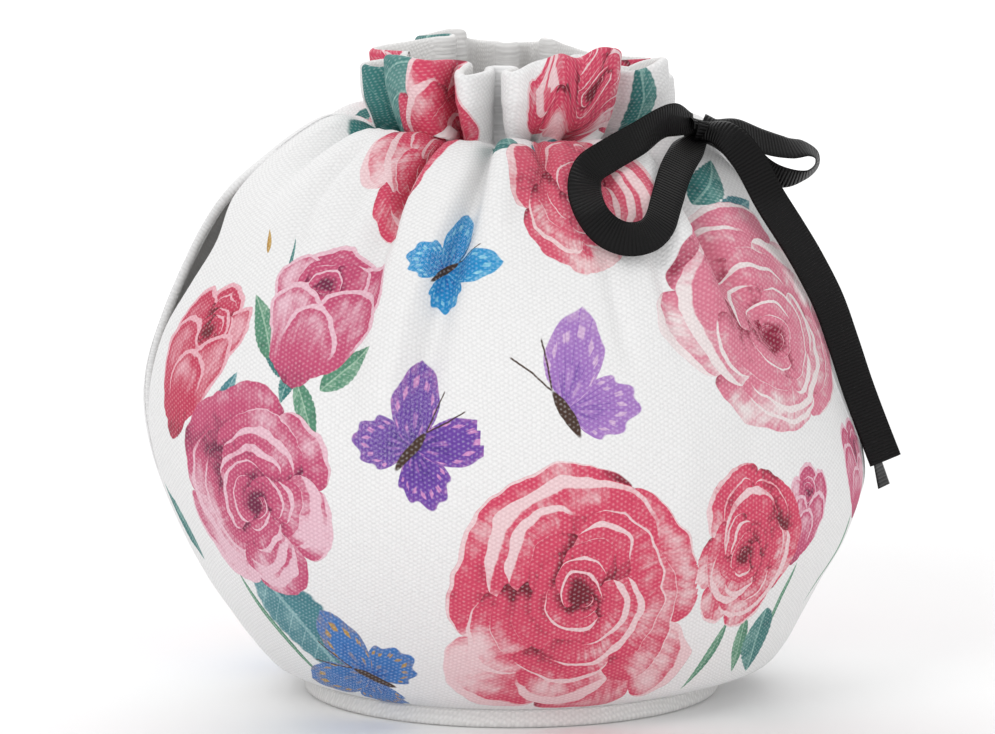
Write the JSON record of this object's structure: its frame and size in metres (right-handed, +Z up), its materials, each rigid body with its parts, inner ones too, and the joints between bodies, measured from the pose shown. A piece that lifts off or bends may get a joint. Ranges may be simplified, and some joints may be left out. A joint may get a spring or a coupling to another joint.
{
  "type": "tea cosy",
  "caption": "Padded cloth tea cosy: a bowl of printed canvas with side openings for spout and handle, gathered at the neck by a ribbon tied in a bow.",
  "frame": {"origin": "centre of the flat underside of the padded base", "axes": "+Z up through the neck, +X towards the handle opening, -X towards the spout opening, -Y out of the front panel"},
  "size_m": [0.2253, 0.2035, 0.2012],
  "materials": {
    "printed_canvas": "matt white plain-weave canvas printed with pink roses, teal leaves and blue and purple butterflies",
    "base_cloth": "matt plain white canvas",
    "ribbon": "black ribbed grosgrain with a slight sheen"
  },
  "bodies": {
    "root": {"front_panel": "printed_canvas", "back_panel": "printed_canvas", "base": "base_cloth", "ribbon_bow": "ribbon"}
  },
  "joints": []
}
